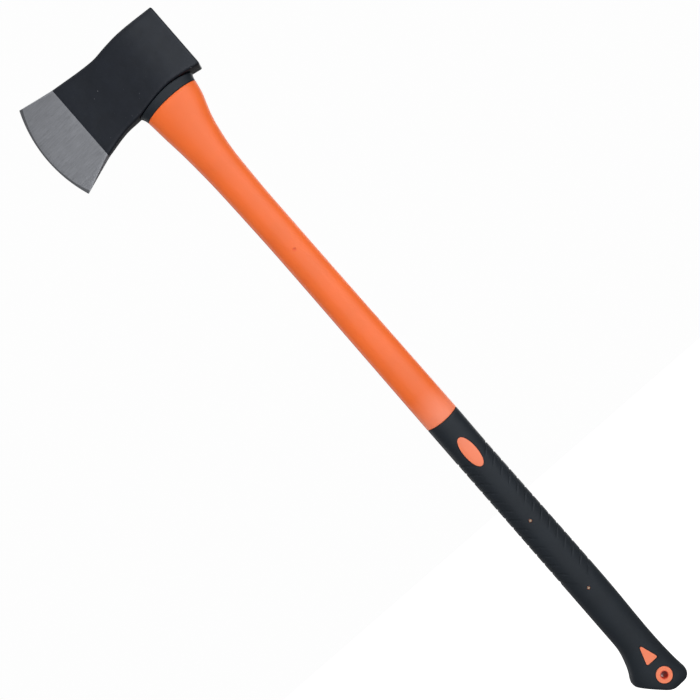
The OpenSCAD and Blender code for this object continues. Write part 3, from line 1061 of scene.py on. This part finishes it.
# Soft boxes: name, place, aim, roll in degrees, width, height, brightness.
LAMPS = (
    ("key", (0.85, -2.2, 0.1), (0, 0, -0.3), 58, 1.7, 2.2, 2.75),
    ("top", (0.4, -0.6, 1.9), (0, 0, -0.2), 0, 1.4, 1.4, 2.0),
    ("low", (0.1, -2.2, -1.1), (0, 0, -0.6), 0, 0.8, 1.2, 1.9),
    ("back left", (-2.2, 1.2, -0.2), (0, 0, -0.4), 0, 1.6, 1.8, 1.8),
    ("back right", (2.2, 1.2, 0.6), (0, 0, -0.4), 0, 1.6, 1.8, 1.4),
    ("back middle", (1.2, 2.0, -0.4), (0, 0, -0.2), 0, 1.6, 1.6, 2.2),
)


class OBJECT_OT_axe_stage(bpy.types.Operator):
    """Lay the floor and set the lights and the camera"""

    bl_idname = "object.axe_stage_add"
    bl_label = "Stage"

    def execute(self, context):
        deselect_all()
        bpy.ops.mesh.primitive_plane_add(size=14, location=(0, 0, -1.6))
        floor = context.object
        floor.name = "floor"
        floor.data.materials.append(studio_floor())
        # Pale paper would light the axe from below and shine in the forging's underside.
        floor.visible_glossy = False
        floor.visible_diffuse = False

        world = bpy.data.worlds.new("studio")
        context.scene.world = world
        world.use_nodes = True
        tree = world.node_tree
        tree.nodes.clear()
        # The studio is bright in front of the axe and dim behind it; its backdrop is white.
        direction = add(tree, "TexCoord", {}).outputs["Generated"]
        forward = add(tree, "SeparateXYZ", {}, {"Vector": direction}).outputs["Y"]
        soft = add(tree, "Background", {"Color": (1, 1, 1, 1)},
                   {"Strength": between(tree, forward, 0.6, 0.16, -0.6, 0.7)})
        seen = add(tree, "Background", {"Color": (0.985, 0.985, 0.985, 1), "Strength": 1})
        camera_ray = add(tree, "LightPath", {}).outputs["Is Camera Ray"]
        both = add(tree, "MixShader", {}, {0: camera_ray, 1: soft.outputs["Background"],
                                           2: seen.outputs["Background"]})
        add(tree, "OutputWorld", {}, {"Surface": both.outputs["Shader"]})

        for name, place, aim, roll, width, height, brightness in LAMPS:
            lamp = bpy.data.lights.new(name, "AREA")
            lamp.shape = "RECTANGLE"
            lamp.size, lamp.size_y = width, height
            lamp.energy = brightness * math.pi * width * height
            obj = bpy.data.objects.new(name, lamp)
            context.collection.objects.link(obj)
            obj.location = place
            facing = (Vector(place) - Vector(aim)).to_track_quat("Z", "Y").to_matrix()
            turned = facing @ Matrix.Rotation(math.radians(-roll), 3, "Z")
            obj.rotation_euler = turned.to_euler()

        camera = bpy.data.cameras.new("camera")
        camera.sensor_width = 36
        camera.lens = CAMERA_LENS
        camera.clip_start, camera.clip_end = 0.05, 50
        obj = bpy.data.objects.new("camera", camera)
        context.collection.objects.link(obj)
        right = (math.cos(CAMERA_ROLL), 0, -math.sin(CAMERA_ROLL))
        up = (math.sin(CAMERA_ROLL), 0, math.cos(CAMERA_ROLL))
        back = (0, -1, 0)
        turn = Matrix((right, up, back)).transposed().to_4x4()
        obj.matrix_world = Matrix.Translation(CAMERA_PLACE) @ turn
        context.scene.camera = obj
        context.scene.view_settings.view_transform = "Standard"
        return {"FINISHED"}


OPERATORS = (OBJECT_OT_axe_head, OBJECT_OT_axe_collar, OBJECT_OT_axe_jacket,
             OBJECT_OT_axe_grip, OBJECT_OT_axe_eye, OBJECT_OT_axe_stage)


class VIEW3D_PT_axe(bpy.types.Panel):
    """Sizes, colours and pieces of the fire axe"""

    bl_idname = "VIEW3D_PT_axe"
    bl_label = "Fire Axe"
    bl_space_type = "VIEW_3D"
    bl_region_type = "UI"
    bl_category = "Fire Axe"

    def draw(self, context):
        for group in (context.scene.axe_head, context.scene.axe_handle,
                      context.scene.axe_colours):
            box = self.layout.box()
            for name in group.__annotations__:
                box.prop(group, name)
        for operator in OPERATORS:
            self.layout.operator(operator.bl_idname)


CLASSES = (AxeHeadSizes, AxeHandleSizes, AxeColours, *OPERATORS, VIEW3D_PT_axe)


def register():
    for cls in CLASSES:
        bpy.utils.register_class(cls)
    bpy.types.Scene.axe_head = bpy.props.PointerProperty(type=AxeHeadSizes)
    bpy.types.Scene.axe_handle = bpy.props.PointerProperty(type=AxeHandleSizes)
    bpy.types.Scene.axe_colours = bpy.props.PointerProperty(type=AxeColours)


def unregister():
    del bpy.types.Scene.axe_colours
    del bpy.types.Scene.axe_handle
    del bpy.types.Scene.axe_head
    for cls in reversed(CLASSES):
        bpy.utils.unregister_class(cls)


def main():
    register()
    bpy.ops.object.axe_head_add()
    bpy.ops.object.axe_collar_add()
    bpy.ops.object.axe_jacket_add()
    bpy.ops.object.axe_grip_add()
    bpy.ops.object.axe_eye_add()
    bpy.ops.object.axe_stage_add()


if __name__ == "__main__":
    main()
